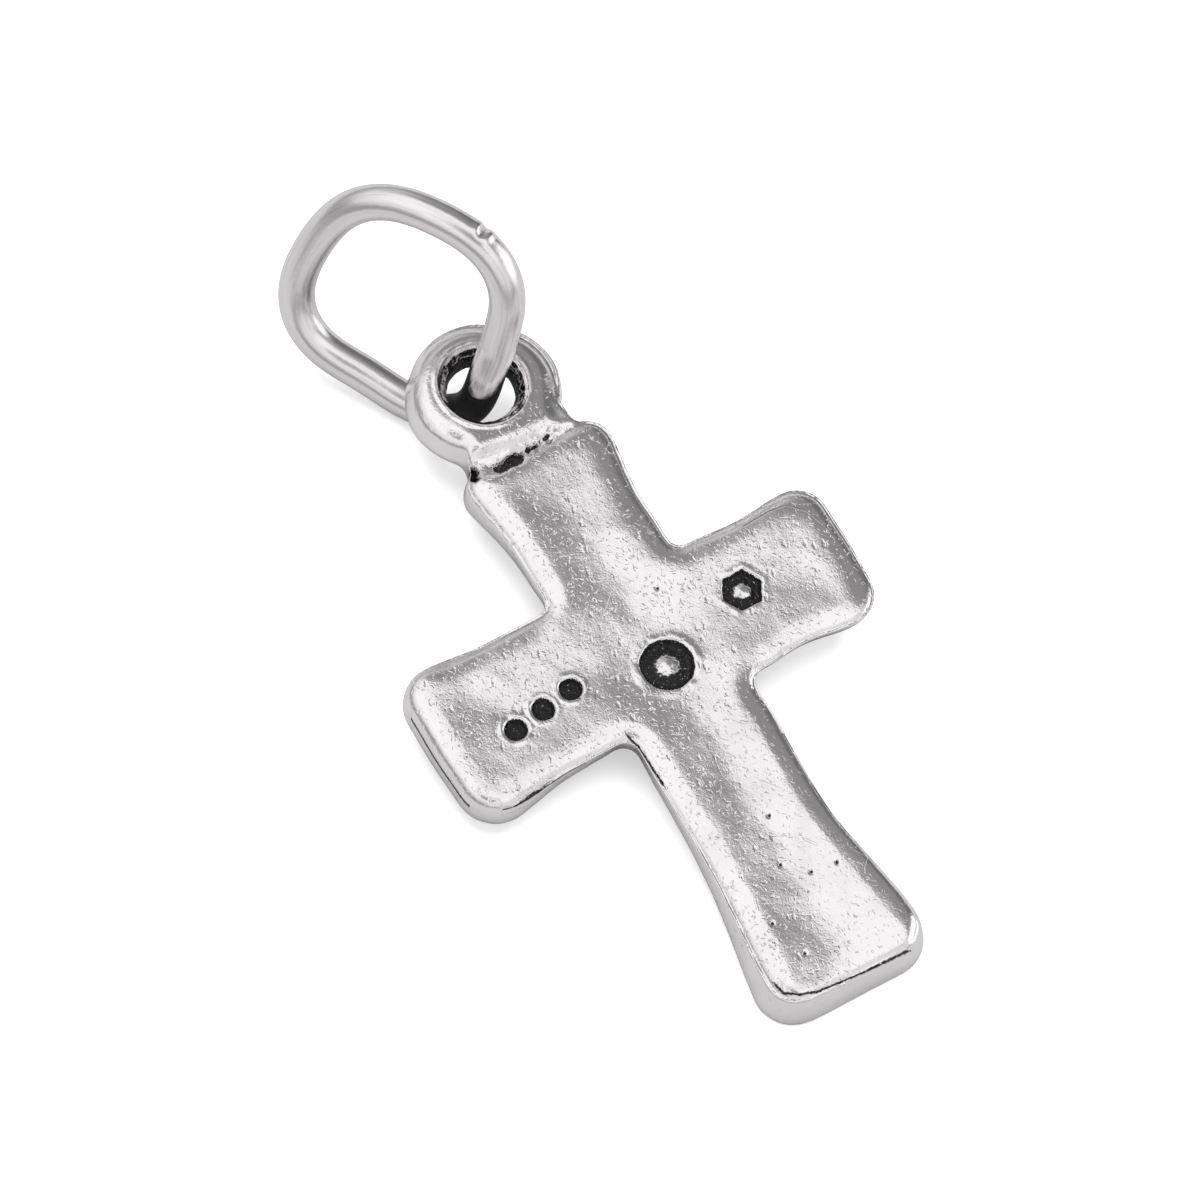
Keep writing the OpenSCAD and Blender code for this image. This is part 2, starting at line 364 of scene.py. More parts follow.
@dataclass(frozen=True)
class CastSilver:
    """Tumbled cast silver: an orange-peel skin of short dents, scratches, blackened recesses, and painted shade
    lines at edges.
    """

    silver: float = 0.82
    dull_share: float = 0.92
    rose: float = 0.012
    dull_rose: float = 0.014
    patch_size: float = 1.3
    patch_span: Span = (0.4, 0.75)
    patch_rough: float = 0.05
    black: float = 0.02
    black_rough: float = 0.3
    black_metal: float = 0.7
    roughness: float = 0.15
    # The size of the lumps that bend the peel and the dents, and how far they bend them
    warp: Point = (0.14, 0.13)
    peel_size: float = 0.34
    peel_height: float = 0.0026
    dents: tuple[Strokes, ...] = (
        Strokes(0.5, 0.19, 0.07, 0.34), Strokes(1.6, 0.16, 0.06, 0.32),
        Strokes(2.6, 0.22, 0.075, 0.32), Strokes(1.1, 0.34, 0.15, 0.2, 1.2),
    )
    dent_height: float = 0.0078
    dent_span: Span = (0.4, 0.12)
    dent_edge: float = 0.02
    dent_patch: float = 1.1
    dent_patch_span: Span = (0.3, 0.7)
    # The dents' depth in their faintest patches, and how much deeper they are in the others
    dent_least: float = 0.45
    dent_more: float = 0.8
    # Where the dents are fainter, on the lower arm and on the eyelet
    faint_arm_x: Span = (-0.3, 0.5)
    faint_arm_y: Span = (-3.5, -5.5)
    faint_eyelet_y: Span = (4.4, 5.1)
    faintness: float = 0.6
    fleck_size: float = 0.05
    fleck_height: float = 0.0036
    scratches: tuple[Strokes, ...] = (Strokes(0.75, 2.2, 0.05, 0.28), Strokes(2.2, 1.2, 0.045, 0.26))
    scratch_height: float = 0.003
    scratch_full: float = 0.8
    crust_size: float = 0.08
    crust_height: float = 0.03
    # The black starts along a ragged edge in a recess, less so along a line, and is worn off in specks
    black_span: Span = (0.36, 0.56)
    ragged_size: float = 0.07
    ragged_edge: float = 0.9
    ragged_line: float = 0.06
    line_span: Span = (0.028, 0.0112)
    worn_size: float = 0.05
    worn_span: Span = (0.62, 0.74)
    worn_off: float = 0.7

    def _dented(self, sheet: NodeSheet, place: Signal, kind: Strokes) -> Signal:
        """Return one kind of dents as a share of their full depth, 1 in their middles."""
        inputs = {"Vector": kind.drawn_out(sheet, place), "Scale": 1.0}
        far = sheet.node("ShaderNodeTexVoronoi", {"voronoi_dimensions": "3D"}, inputs)
        chance = sheet.node("ShaderNodeSeparateColor", {}, [far.also("Color")])
        there = chance.step(1 - kind.share, 1 - kind.share + self.dent_edge)
        return far.step(*self.dent_span) * there

    def _dent_depth(self, sheet: NodeSheet, place: Signal) -> Signal:
        """Return how deep the dents are, in millimetres: deep in some patches, faint in others."""
        patches = sheet.clouds(place, self.dent_patch, 2).step(*self.dent_patch_span)
        x = sheet.node("ShaderNodeSeparateXYZ", {}, {"Vector": place})
        y = x.also("Y")
        faint = (x.step(*self.faint_arm_x) * y.step(*self.faint_arm_y)).at_least(y.step(*self.faint_eyelet_y))
        share = patches * self.dent_more + self.dent_least
        return share * (1 - faint * self.faintness) * self.dent_height

    def _skin(self, sheet: NodeSheet, place: Signal) -> Signal:
        """Return the height of the skin in millimetres: peel, dents, flecks and scratches."""
        bent = sheet.warped(place, *self.warp)
        dents: Any = 0.0
        for kind in self.dents:
            dents = dents + self._dented(sheet, bent, kind) * kind.depth
        scratches: Any = 0.0
        for kind in self.scratches:
            lines = sheet.clouds(kind.drawn_out(sheet, place), 1.0, 1)
            scratches = scratches + lines.step(1 - kind.share, self.scratch_full)
        peel = sheet.clouds(bent, self.peel_size, 3, Roughness=0.55) * self.peel_height
        flecks = sheet.clouds(place, self.fleck_size, 2) * self.fleck_height
        return peel - dents * self._dent_depth(sheet, place) + flecks - scratches * self.scratch_height

    def _black(self, sheet: NodeSheet, place: Signal) -> Signal:
        """Return where the silver is black: tarnished in recesses with ragged rims, and painted shade along thin
        lines at edges.
        """
        stain = sheet.attribute(TARNISH_AND_SHADE)
        ragged = sheet.clouds(place, self.ragged_size, 3, Roughness=0.7) - 0.5
        worn = sheet.clouds(place, self.worn_size, 2).step(*self.worn_span)
        deep = (stain + ragged * self.ragged_edge).step(*self.black_span)
        line = (sheet.attribute(LINE_SIDE).size() + ragged * self.ragged_line).step(*self.line_span)
        return deep.at_least(line * sheet.attribute(LINE_NEAR)) * (1 - worn * self.worn_off)

    def material(self) -> bpy.types.Material:
        """Return a new material of this finish."""
        made, sheet = new_finish("cast_silver_finish")
        place = sheet.millimetres()
        # Black: tarnish in the recesses, and painted shade along the thin lines at the edges
        black = self._black(sheet, place)
        patch = sheet.clouds(place, self.patch_size, 3)
        bright, dull = grey(self.silver, self.rose), grey(self.silver * self.dull_share, self.dull_rose)
        metal = sheet.shade(bright, dull, patch.step(*self.patch_span))
        crust = sheet.clouds(place, self.crust_size, 3, Roughness=0.7) * self.crust_height
        sheet.surface({
            "Base Color": sheet.shade(metal, grey(self.black), black),
            "Metallic": 1 - black * (1 - self.black_metal),
            "Roughness": self.roughness + patch * self.patch_rough + black * self.black_rough,
            "Normal": sheet.bump(self._skin(sheet, place) + black * crust),
        })
        return made


@dataclass(frozen=True)
class WireSilver:
    """Drawn silver wire: smooth, with faint drawing lines along it and a few rubbed places."""

    silver: float = 0.8
    dull_share: float = 0.9
    rose: float = 0.012
    dull_span: Span = (0.4, 0.65)
    black: float = 0.02
    black_span: Span = (0.4, 0.6)
    black_rough: float = 0.25
    black_metal: float = 0.5
    roughness: float = 0.18
    band_rough: float = 0.1
    # How many are in a radian about the wire, and how long each runs along it in millimetres
    bands: Point = (1.6, 3.0)
    lines: Point = (7.0, 1.6)
    band_height: float = 0.0012
    line_height: float = 0.0007
    speck_size: float = 0.07
    speck_edge: float = 0.7
    skin_size: float = 0.12
    skin_height: float = 0.0035

    def _drawn(self, sheet: NodeSheet, place: Signal, number: float, run: float) -> Signal:
        """Return a noise in lines along the wire: number of them in a radian, each run mm long."""
        scale, add = {"operation": "SCALE"}, {"operation": "ADD"}
        section = sheet.attribute(SECTION, "Vector")
        about = sheet.node("ShaderNodeVectorMath", scale, {"Vector": section, "Scale": number})
        along = sheet.node("ShaderNodeVectorMath", scale, {"Vector": place, "Scale": 1 / run})
        spot = sheet.node("ShaderNodeVectorMath", add, [about, along])
        return sheet.clouds(spot, 1.0, 2, Roughness=0.6)

    def material(self) -> bpy.types.Material:
        """Return a new material of this finish."""
        made, sheet = new_finish("wire_silver_finish")
        place = sheet.millimetres()
        speck = sheet.clouds(place, self.speck_size, 3, Roughness=0.7)
        # Black: tarnish at the seam and the nick, and painted shade where the wire runs inside the hole
        black = (sheet.attribute(TARNISH_AND_SHADE) + (speck - 0.5) * self.speck_edge).step(*self.black_span)
        bands = self._drawn(sheet, place, *self.bands)
        lines = self._drawn(sheet, place, *self.lines)
        rubbed = sheet.clouds(place, self.skin_size, 3, Roughness=0.65)
        bright, dull = grey(self.silver, self.rose), grey(self.silver * self.dull_share, self.rose)
        metal = sheet.shade(bright, dull, lines.step(*self.dull_span))
        height = bands * self.band_height + lines * self.line_height + rubbed * self.skin_height
        sheet.surface({
            "Base Color": sheet.shade(metal, grey(self.black), black),
            "Metallic": 1 - black * (1 - self.black_metal),
            "Roughness": self.roughness + bands * self.band_rough + black * self.black_rough,
            "Normal": sheet.bump(height),
        })
        return made


@dataclass(frozen=True)
class PaleFloor:
    """Plain matt white or pale grey, with a little light of its own as a light table has."""

    white: float
    glow: float = 0.0

    def material(self) -> bpy.types.Material:
        """Return a new material of this finish."""
        made, sheet = new_finish("pale_floor_finish")
        sheet.surface({
            "Base Color": grey(self.white),
            "Roughness": 1.0,
            "Specular IOR Level": 0.0,
            "Emission Color": grey(1.0),
            "Emission Strength": self.glow,
        })
        return made


# Meshes


def mesh_of(name: str, shell: bmesh.types.BMesh) -> bpy.types.Mesh:
    """Return a new mesh of this name made from shell, which is freed."""
    mesh = bpy.data.meshes.new(name)
    shell.to_mesh(mesh)
    shell.free()
    return mesh


def linked(mesh: bpy.types.Mesh) -> bpy.types.Object:
    """Return a new object in the scene that has this mesh and its name."""
    piece = bpy.data.objects.new(mesh.name, mesh)
    bpy.context.collection.objects.link(piece)
    return piece


def finished(mesh: bpy.types.Mesh, finish: Finish) -> bpy.types.Object:
    """Return a new smooth object in the scene with this mesh and a material of this finish."""
    mesh.shade_smooth()
    mesh.materials.append(finish.material())
    return linked(mesh)


def smooth(shell: bmesh.types.BMesh, verts: Sequence[bmesh.types.BMVert], passes: int) -> None:
    """Smooth some of a mesh's points, a number of times over."""
    for _ in range(passes):
        bmesh.ops.smooth_vert(shell, verts=verts, factor=0.5, use_axis_x=True, use_axis_y=True, use_axis_z=True)


def spin(shell: bmesh.types.BMesh, edges: Sequence[bmesh.types.BMEdge], centre: Point, steps: int) -> None:
    """Spin a closed line of edges once about the upright axis through centre, into a closed skin."""
    line = list(edges) + list({v for e in edges for v in e.verts})
    bmesh.ops.spin(
        shell, geom=line, axis=(0, 0, 1), cent=(*centre, 0), dvec=(0, 0, 0), angle=math.tau,
        steps=steps, use_merge=True, use_duplicate=False,
    )


# The cast cross


@dataclass(frozen=True)
class Corner:
    """A corner of the back face's outline, in millimetres.

    Its rounding is measured along its sides. The side that follows it is hollowed by hollow.
    The roll is a factor on the front's rolled edge, the bevel is the back edge's, and the
    taper is how far the wall comes in towards the front.
    """

    x: float
    y: float
    rounding: float
    hollow: float
    roll: float
    bevel: float
    taper: float = 0.0


@dataclass
class Skin:
    """The cross's skin while it is shaped, and what is noted at each of its points.

    Those are its place and normal, whether it is on the back, a fine and a coarse noise, how
    far it is to be lifted, its stain, and how far it lies from a painted shade line that is near.
    """

    co: np.ndarray
    up: np.ndarray
    facing_back: np.ndarray
    rough: np.ndarray
    wobble: np.ndarray
    lift: np.ndarray
    stain: np.ndarray
    line_side: np.ndarray
    line_near: np.ndarray

    @classmethod
    def of(cls, mesh: bpy.types.Mesh) -> "Skin":
        """Return a mesh's skin, with no lift, stain or line on it yet."""
        # Where the back starts, by its normal and height, and the two noises' size and shift
        back_up, back_z, fine, coarse = (0.25, 0.8), (0.85, 1.05), (0.13, 5.0), (0.4, 11.0)
        count = len(mesh.vertices)
        co, up = np.empty(count * 3), np.empty(count * 3)
        mesh.vertices.foreach_get("co", co)
        mesh.vertices.foreach_get("normal", up)
        co, up = co.reshape(-1, 3), up.reshape(-1, 3)
        facing_back = ramp(up[:, 2], *back_up) * ramp(co[:, 2], *back_z)
        rough, wobble = grain(co, *fine), grain(co, *coarse)
        lift, stain, near = (np.zeros(count) for _ in range(3))
        return cls(co, up, facing_back, rough, wobble, lift, stain, np.ones_like(near), near)

    @property
    def x(self) -> np.ndarray:
        """Each point's x."""
        return self.co[:, 0]

    @property
    def y(self) -> np.ndarray:
        """Each point's y."""
        return self.co[:, 1]

    @property
    def z(self) -> np.ndarray:
        """Each point's height."""
        return self.co[:, 2]

    def stray(self, rough: float, wobble: float) -> np.ndarray:
        """Return how far an edge strays at each point, from its shares of the two noises."""
        return self.rough * rough + self.wobble * wobble

    def darken(self, stain: np.ndarray) -> None:
        """Blacken the skin by stain, where it isn't darker already."""
        self.stain = np.maximum(self.stain, stain)

    def write(self, mesh: bpy.types.Mesh) -> None:
        """Give the mesh the skin's points, its stain and its painted shade lines."""
        mesh.vertices.foreach_set("co", self.co.ravel())
        for name, values in ((TARNISH_AND_SHADE, self.stain), (LINE_SIDE, self.line_side), (LINE_NEAR, self.line_near)):
            mesh.attributes.new(name, "FLOAT", "POINT").data.foreach_set("value", values)


class MarkShape(Enum):
    """The plain sunk marks on the back face."""

    ROUND = "round"
    SIX_SIDED = "six-sided"
    DOT = "dot"


@dataclass(frozen=True)
class Mark:
    """A mark sunk into the back face, with a dome of a given width left standing in it."""

    shape: MarkShape
    x: float
    y: float
    width: float
    dome: float = 0.0
    depth: float = 0.16
    wall: float = 0.17
    lip: float = 0.022
    stray: Point = (0.03, 0.035)
    rough_floor: float = 0.035
    # Where the wall starts, in walls outside the mark, and where the black fades in
    wall_out: float = 0.4
    black_span: Span = (1.08, 0.96)
    # The dome's height as a share of the depth, and how far it stays bright
    dome_height: float = 0.8
    dome_bright: Point = (1.1, 0.5)
    lip_width: float = 0.3
    lip_least: float = 0.6

    def reach(self, x: np.ndarray, y: np.ndarray) -> np.ndarray:
        """Return how far each place lies from the middle, in half widths of the mark."""
        away = np.hypot(x - self.x, y - self.y)
        if self.shape is MarkShape.SIX_SIDED:
            sixth = math.pi / 3
            turn = np.arctan2(y - self.y, x - self.x) % sixth
            away = away * np.cos(turn - sixth / 2) / math.cos(sixth / 2)
        return away / (self.width / 2)

    def sink(self, skin: Skin) -> None:
        """Sink the mark into the skin, with a slight lip about it, and blacken it."""
        far = self.reach(skin.x, skin.y) + skin.stray(*self.stray) / self.width
        wall = self.wall / self.width
        dome = mound(far * self.width, self.dome) if self.dome else 0.0
        sunk = ramp(far, 1 + wall * self.wall_out, 1 - wall) * (1 - self.dome_height * dome)
        lip = mound(np.abs(far - 1 - wall), self.lip_width) * (self.lip_least + skin.wobble)
        skin.lift += lip * self.lip - sunk * (self.depth + skin.rough * self.rough_floor)
        bright, rough_bright = self.dome_bright
        skin.darken(ramp(far, *self.black_span) * (1 - (bright + skin.rough * rough_bright) * dome))


@dataclass(frozen=True)
class Cut:
    """A dark narrow groove along a path of places on the plan of the cross."""

    path: tuple[Point, ...]
    half_width: float
    depth: float
    stain: float = 1.0
    stray: Point = (0.045, 0.03)
    rough_floor: float = 0.02
    # Where its wall and its black fade in, in half widths
    wall_span: Span = (1.3, 0.5)
    black_span: Span = (1.15, 0.6)

    def sink(self, skin: Skin) -> None:
        """Cut the groove into the skin, and blacken it."""
        far = (path_distance(skin.x, skin.y, self.path) + skin.stray(*self.stray)) / self.half_width
        skin.lift -= ramp(far, *self.wall_span) * (self.depth + skin.rough * self.rough_floor)
        skin.darken(ramp(far, *self.black_span) * self.stain)


@dataclass(frozen=True)
class Pit:
    """A small round casting pit in the back face."""

    x: float
    y: float
    radius: float = 0.075
    depth: float = 0.045

    def sink(self, skin: Skin) -> None:
        """Sink the pit into the skin, and blacken it."""
        hole = mound(np.hypot(skin.x - self.x, skin.y - self.y), self.radius)
        skin.lift -= hole * self.depth
        skin.darken(hole)


@dataclass(frozen=True)
class Notch:
    """The blackened notch in the wall beside the neck, a little longer than wide."""

    x: float = -1.62
    y: float = 6.0
    radius: float = 0.2
    squeeze: float = 0.7
    deep_z: Span = (0.45, 0.75)
    stain: float = 0.75

    def blacken(self, skin: Skin) -> None:
        """Blacken the notch in speckles, down to the wall's middle."""
        away = np.hypot(skin.x - self.x, (skin.y - self.y) * self.squeeze)
        skin.darken(mound(away, self.radius) * ramp(skin.z, *self.deep_z) * (self.stain + skin.rough))


@dataclass(frozen=True)
class Furrow:
    """The shallow rough furrow across the foot of the neck, which fades out at both sides."""

    y: float = 5.84
    slope: float = 0.05
    half_width: float = 0.15
    left_x: Span = (-1.4, -1.0)
    right_x: Span = (1.0, 0.5)
    depth: float = 0.08
    rough_depth: float = 0.09
    stain: float = 0.3
    rough_stain: float = 0.6
    most_stain: float = 0.5

    def sink(self, skin: Skin) -> None:
        """Sink the furrow into the skin, and blacken it in speckles."""
        across = (skin.y - self.y - self.slope * skin.x) / self.half_width
        share = np.exp(-(across ** 2)) * ramp(skin.x, *self.left_x) * ramp(skin.x, *self.right_x)
        skin.lift -= share * (self.depth + skin.rough * self.rough_depth)
        skin.darken(share * np.clip(self.stain + skin.rough * self.rough_stain, 0, self.most_stain))


@dataclass(frozen=True)
class PaintedShadeLine:
    """A painted shade line: a thin dark line along a path of places on the plan, where an edge turns away into
    shade.

    With a height it runs level on the side wall. Without one it is drawn on the back face.
    """

    path: tuple[Point, ...]
    height: float | None = None
    width: float = 1.0
    strength: float = 1.0
    reach: float = 0.32
    face_z: float = 0.9

    def draw(self, skin: Skin) -> None:
        """Note at each point near the line how far it lies to one side of it, or above it."""
        if self.height is None:
            gap, here = path_side(skin.x, skin.y, self.path), skin.z > self.face_z
        else:
            gap, here = skin.z - self.height, path_distance(skin.x, skin.y, self.path) < self.reach
        here = here & (np.abs(gap) < self.reach / 2)
        skin.line_side[here], skin.line_near[here] = gap[here] / self.width, self.strength


@dataclass(frozen=True)
class Relief:
    """The low relief of the back face in millimetres: soft edges, dished arms, an uneven skin."""

    # Distances are taken from an outline this far outside the face, as places this far apart
    rim_away: float = 0.3
    rim_gap: float = 0.1
    # The edges roll off. They do so more widely and deeply where they face the shaded side
    roll_depth: float = 0.085
    roll_width: float = 0.6
    roll_power: float = 2.4
    roll_most: float = 1.5
    shaded_side: Point = (0.94, 0.34)
    shaded_roll: float = 0.48
    shaded_least: float = 0.08
    wider_y: Span = (-4.0, 2.0)
    deeper: float = 0.35
    deeper_y: Span = (-4.0, 1.0)
    shallower: float = 0.4
    shallower_y: Span = (-3.0, -6.0)
    # The ends of the left and the lower arm have crisper edges
    left_crisp: float = 0.85
    left_x: Span = (-4.5, -5.3)
    lower_crisp: float = 0.6
    lower_y: Span = (-8.7, -9.3)
    lower_x: Span = (1.9, 1.4)
    # The arms are dished between their sides, with no side at the lower arm's end
    dish_slope: float = 0.06
    dish_from: float = 0.42
    dish_end: float = -8.9
    # The eyelet is tipped about a place on the neck, and the neck's left part lies lower
    arms_y: Span = (6.0, 5.7)
    eyelet_y: Span = (6.05, 6.5)
    tip: Point = (-0.085, -0.05)
    tip_y: float = 6.5
    lower_neck: float = 0.08
    lower_neck_x: Span = (1.0, 0.4)
    lower_neck_y: Span = (6.45, 5.9)
    # The upper and the lower arm are twisted a little about the cross's length
    upper_twist: float = -0.02
    upper_twist_y: Span = (2.0, 4.0)
    lower_twist: float = 0.014
    lower_twist_y: Span = (-3.0, -6.0)
    # The skin's broad lumps: their height, their size and the noise's shift
    lumps: tuple[tuple[float, float, float], ...] = ((0.012, 1.5, 3.1), (0.003, 0.5, 8.3))

    def _roll(self, x: np.ndarray, y: np.ndarray, inward: np.ndarray, shaded: np.ndarray) -> np.ndarray:
        """Return the soft edges' height.

        Args:
            x: The places' x.
            y: The places' y.
            inward: How far each place lies inside the face's edge.
            shaded: How far the nearest edge faces the shaded side, from 0 to 1.

        Returns:
            The height, below 0 near the edges and 0 elsewhere.
        """
        lower_end = ramp(y, *self.lower_y) * ramp(np.abs(x), *self.lower_x)
        left_end = ramp(x, *self.left_x)
        wider = self.shaded_least + (1 - self.shaded_least) * ramp(y, *self.wider_y)
        width = self.roll_width + self.shaded_roll * shaded * wider
        depth = self.roll_depth * (1 + self.deeper * shaded * ramp(y, *self.deeper_y))
        depth *= (1 - self.lower_crisp * lower_end) * (1 - self.left_crisp * left_end)
        depth *= 1 - self.shallower * shaded * ramp(y, *self.shallower_y)
        return -depth * np.clip(1 - inward / width, 0, self.roll_most) ** self.roll_power

    def height(self, x: np.ndarray, y: np.ndarray, rim: Rim, eyelet_x: float) -> np.ndarray:
        """Return how far the back face lies above or below its plane.

        Args:
            x: The places' x.
            y: The places' y.
            rim: The outline rim_away outside the face.
            eyelet_x: The middle of the eyelet, about which it is tipped.

        Returns:
            The height at each place.
        """
        flat = np.stack([x, y, np.zeros_like(x)], axis=-1)
        to_rim, facing = soft_distance(x, y, rim, self.shaded_side)
        to_side, _ = soft_distance(x, y, rim.only(rim.places[:, 1] > self.dish_end), self.shaded_side)
        roll = self._roll(x, y, to_rim - self.rim_away, np.clip(facing, 0, 1))
        dish = -self.dish_slope * np.clip(to_side - self.rim_away - self.dish_from, 0, None)
        on_arms, on_eyelet = ramp(y, *self.arms_y), ramp(y, *self.eyelet_y)
        tipped = self.tip[0] * (x - eyelet_x) + self.tip[1] * (y - self.tip_y)
        neck = ramp(y, *self.lower_neck_y) * ramp(x, *self.lower_neck_x) * (1 - on_arms)
        twist = self.upper_twist * x * ramp(y, *self.upper_twist_y) * on_arms
        twist += self.lower_twist * x * ramp(y, *self.lower_twist_y)
        uneven = sum(high * grain(flat, size, seed) for high, size, seed in self.lumps)
        return (roll + dish) * on_arms + twist + tipped * on_eyelet - self.lower_neck * neck + uneven


def rounded_face(
    shell: bmesh.types.BMesh, tips: Sequence[tuple[Vector, float]], segments: int
) -> bmesh.types.BMFace:
    """Add a flat face with rounded corners.

    Args:
        shell: The mesh that gets the face.
        tips: Each corner's place, and the length along its edges that its rounding takes.
        segments: Edges in each rounding.

    Returns:
        The face.
    """
    points = [shell.verts.new(place) for place, _ in tips]
    shell.faces.new(points)
    for point, (_, rounding) in zip(points, tips):
        made = bmesh.ops.bevel(
            shell, geom=[point], affect="VERTICES", offset=rounding, offset_type="OFFSET",
            segments=segments, profile=0.5, material=-1,
        )
    return made["verts"][0].link_faces[0]


@dataclass
class CastCross:
    """The cast cross: four flared arms, a neck and an eyelet in one piece of silver."""

    lie: Lie
    finish: CastSilver
    relief: Relief = Relief()
    thickness: float = 1.3
    wall_bulge: float = 0.16
    front_roll: float = 0.54
    soft_bevel: float = 0.14
    # How finely the outline's corners and long sides are divided
    corner_parts: int = 6
    long_side: float = 0.6
    side_cuts: int = 15
    eyelet_x: float = -0.13
    eyelet_y: float = 7.8
    eyelet_r: float = 1.72
    eyelet_t: float = 1.14
    # How far the eyelet's face lies below the back's plane, and its outer edges below that
    eyelet_drop: float = 0.04
    eyelet_edge: float = 0.42
    # How much the eyelet is wider at its sides and below than round
    eyelet_sides: float = 0.17
    eyelet_foot: float = 0.13
    eyelet_corner_parts: int = 5
    eyelet_steps: int = 120
    hole_r: float = 0.84
    hole_rim_r: float = 1.09
    # The lip about the hole: how far off the rim, how wide, how high, and how unevenly so
    hole_lip: tuple[float, float, float, float] = (0.07, 0.1, 0.03, 0.02)
    neck_base: float = 0.2
    neck_height: float = 0.97
    voxel: float = 0.078
    # Passes of smoothing everywhere, off the hole's rim, and on the neck between these y
    soft_passes: tuple[int, int, int] = (3, 2, 9)
    soft_off_rim: float = 0.15
    soft_neck_off_rim: float = 0.25
    soft_neck_y: Span = (5.95, 7.3)
    # Faces that look up and lie high are on the back, and are divided once more
    back_up: float = 0.7
    back_z: float = 0.95
    # The whole skin's unevenness: its lumps' height, size and shift, and the fine noise's share
    skin_lumps: tuple[float, float, float] = (0.008, 1.1, 20.0)
    skin_rough: float = 0.0015
    hole_rough: float = 0.02

    corners: tuple[Corner, ...] = (
        Corner(5.4, -1.72, 0.75, -0.03, 1.15, 0.08, 0.3),
        Corner(5.47, 1.86, 0.7, 0.084, 1, 0.36),
        Corner(1.58, 1.76, 0.5, 0.098, 1.5, 0.14),
        Corner(1.86, 5.75, 0.5, 0, 0.75, 0.28),
        Corner(-1.76, 5.75, 0.32, 0.084, 0.45, 0.16, -0.06),
        Corner(-1.52, 1.84, 0.5, 0.056, 1.5, 0.12, 0.2),
        Corner(-5.74, 1.93, 0.62, -0.03, 0.6, 0.26, -0.14),
        Corner(-5.7, -1.9, 0.85, 0.07, 0.6, 0.2, -0.12),
        Corner(-1.52, -1.66, 0.5, 0.11, 1.5, 0.06, 0.2),
        Corner(-1.84, -9.35, 0.62, 0, 0.25, 0.08, -0.34),
        Corner(1.9, -9.35, 0.6, 0.252, 0.25, 0.1, -0.34),
        Corner(1.5, -1.64, 0.58, 0.126, 1.5, 0.04, 0.36),
    )
    # Share of the thickness, inset of the front's roll and inset of the back's bevel
    levels: tuple[tuple[float, float, float], ...] = (
        (0, 1, 0), (0.03, 0.75, 0), (0.06, 0.6, 0), (0.12, 0.41, 0), (0.18, 0.28, 0), (0.26, 0.16, 0),
        (0.34, 0.08, 0), (0.5, 0, 0), (0.82, 0, 0), (0.92, 0, 0.25), (0.975, 0, 0.6), (1, 0, 1),
    )
    neck: tuple[Point, ...] = (
        (1.31, 5.25), (1.39, 5.83), (1.34, 6.1), (1.34, 6.37), (1.33, 6.63), (1.17, 6.9),
        (-1.33, 6.8), (-1.43, 6.35), (-1.49, 6.1), (-1.57, 5.83), (-1.57, 5.25),
    )
    marks: tuple[Mark, ...] = (
        Mark(MarkShape.ROUND, 0.05, -0.6, 1.3, 1.015),
        Mark(MarkShape.SIX_SIDED, 2.62, 0.2, 1.05, 0.781),
        Mark(MarkShape.DOT, -3.99, -0.34, 0.56),
        Mark(MarkShape.DOT, -3.15, -0.2, 0.56),
        Mark(MarkShape.DOT, -2.31, -0.06, 0.56),
    )
    cuts: tuple[Cut, ...] = (
        Cut(((-0.9, 5.7), (-0.36, 5.74)), 0.17, 0.09),
        Cut(((-0.05, 5.82), (0.3, 5.86)), 0.05, 0.04, 0.75),
        Cut(((0.48, 5.9), (0.56, 5.92)), 0.06, 0.05),
        Cut(((-1.7, 6.32), (-1.52, 6.12), (-1.47, 5.95), (-1.55, 5.76)), 0.1, 0.3),
    )
    pits: tuple[Pit, ...] = (
        Pit(-0.2, -6.3), Pit(0.35, -6.8), Pit(-1.15, -7.5), Pit(-0.85, -8.5), Pit(0.2, -5.1),
        Pit(0.85, 1.2), Pit(1.0, -6.9),
    )
    furrow: Furrow = Furrow()
    notch: Notch = Notch()
    # Painted shade: thin dark lines where the edges turn away under themselves
    painted_shade_lines: tuple[PaintedShadeLine, ...] = (
        PaintedShadeLine(((-5.95, 0.9), (-5.9, -1.1)), 0.84, width=2.4),
        PaintedShadeLine(((-1.72, -1.72), (-1.62, -2.1), (-1.6, -3.2)), width=1.2),
        PaintedShadeLine(
            ((-1.85, -8.8), (-1.78, -9.1), (-1.5, -9.32), (-1.09, -9.44), (0.3, -9.54), (1.4, -9.56)), width=1.2
        ),
        PaintedShadeLine(((-5.0, -1.95), (-4.2, -1.98), (-3.2, -1.85)), 1.1),
        PaintedShadeLine(((3.0, -1.7), (4.2, -1.8), (5.1, -1.84)), 1.0),
        PaintedShadeLine(((3.5, 1.62), (4.24, 1.66), (4.68, 1.6), (5.05, 1.22), (5.25, 0.7), (5.28, 0.3)), strength=0.75),
    )

